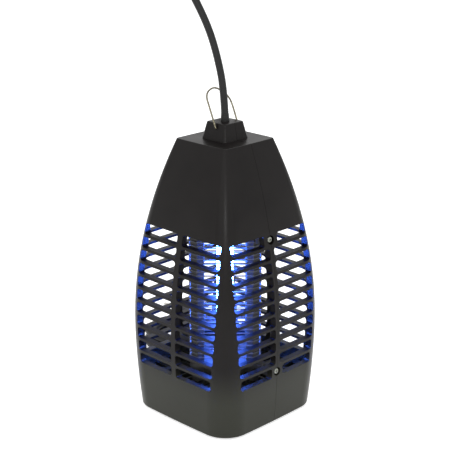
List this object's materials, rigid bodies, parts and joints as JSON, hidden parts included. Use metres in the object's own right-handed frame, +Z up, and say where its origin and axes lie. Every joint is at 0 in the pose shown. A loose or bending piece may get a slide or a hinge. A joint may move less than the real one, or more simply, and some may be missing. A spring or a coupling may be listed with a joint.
{
  "type": "electric bug zapper",
  "caption": "Hanging electric insect killer: slotted square housing with a lit ultraviolet tube in a wire cage, a twist-off catch tray, a hanging bail and a mains lead with its plug.",
  "frame": {"origin": "centre of the base, on the surface that the feet stand on", "axes": "+Z up; +X out of a face with the two seam screws; -Y out of the front shell's plain face; the housing parts at y = 0"},
  "size_m": [0.2567, 0.1849, 0.4343],
  "materials": {
    "housing_black": "satin moulded plastic with a fine grain",
    "bail_steel": "drawn wire",
    "cord_black": "soft sheath, satin",
    "plug_black": "moulded plug, satin",
    "pin_nickel": "nickel-plated",
    "tie_black": "woven hook-and-loop",
    "screw_steel": "zinc-plated",
    "insulator_grey": "matt moulded insulator",
    "cage_steel": "bright drawn wire",
    "tube_glass": "phosphor-coated lamp glass, lit",
    "cap_aluminium": "spun",
    "holder_white": "moulded",
    "board_laminate": "paper laminate",
    "choke_steel": "varnished",
    "capacitor_sleeve": "shrunk sleeve",
    "diode_black": "moulded",
    "fuse_glass": "clear",
    "terminal_white": "moulded",
    "lead_brown": "insulated",
    "lead_blue": "insulated",
    "lead_white": "insulated",
    "foot_rubber": "matt",
    "tray_black": "satin moulded"
  },
  "bodies": {
    "housing": {"front_shell": "housing_black", "rear_shell": "housing_black", "cord_gland": "cord_black", "cord_inner": "cord_black", "power_cord": "cord_black", "cord_coil": "cord_black", "cord_tail": "cord_black", "plug_body": "plug_black", "plug_pins": "pin_nickel", "coil_tie": "tie_black", "cord_clamp": "housing_black", "clamp_screws": "screw_steel", "shell_screws": "screw_steel", "top_frame": "insulator_grey", "bottom_frame": "insulator_grey", "grid_post_1": "insulator_grey", "grid_post_2": "insulator_grey", "grid_post_3": "insulator_grey", "grid_post_4": "insulator_grey", "grid_wires_live": "cage_steel", "grid_wires_neutral": "cage_steel", "lamp_holder_bottom": "holder_white", "lamp_holder_top": "holder_white", "circuit_board": "board_laminate", "board_screws": "screw_steel", "choke": "choke_steel", "capacitors": "capacitor_sleeve", "diodes": "diode_black", "fuse": "fuse_glass", "terminal_block": "terminal_white", "lead_live": "lead_brown", "lead_neutral": "lead_blue", "lamp_leads": "lead_white", "grid_leads": "lead_white", "floor_grille": "housing_black", "base_ring": "housing_black", "base_screws": "screw_steel", "foot_1": "foot_rubber", "foot_2": "foot_rubber", "foot_3": "foot_rubber", "foot_4": "foot_rubber"},
    "bail": {"hanging_bail": "bail_steel"},
    "lamp": {"uv_tube": "tube_glass", "tube_cap_bottom": "cap_aluminium", "tube_cap_top": "cap_aluminium", "tube_pins": "pin_nickel", "holder_rotor_bottom": "holder_white", "holder_rotor_top": "holder_white"},
    "tray": {"catch_tray": "tray_black"}
  },
  "joints": [
    {"name": "bail_swing", "type": "hinge", "parent": "housing", "child": "bail", "pos_m": [0.0025, 0, 0.271], "axis": [0, 1, 0], "range_deg": [-65, 8]},
    {"name": "tray_twist", "type": "hinge", "parent": "housing", "child": "tray", "pos_m": [0, 0, 0.005], "axis": [0, 0, 1], "range_deg": [0, 30]},
    {"name": "lamp_turn", "type": "hinge", "parent": "housing", "child": "lamp", "pos_m": [0, 0, 0.121], "axis": [0, 0, 1], "range_deg": [0, 90]}
  ]
}
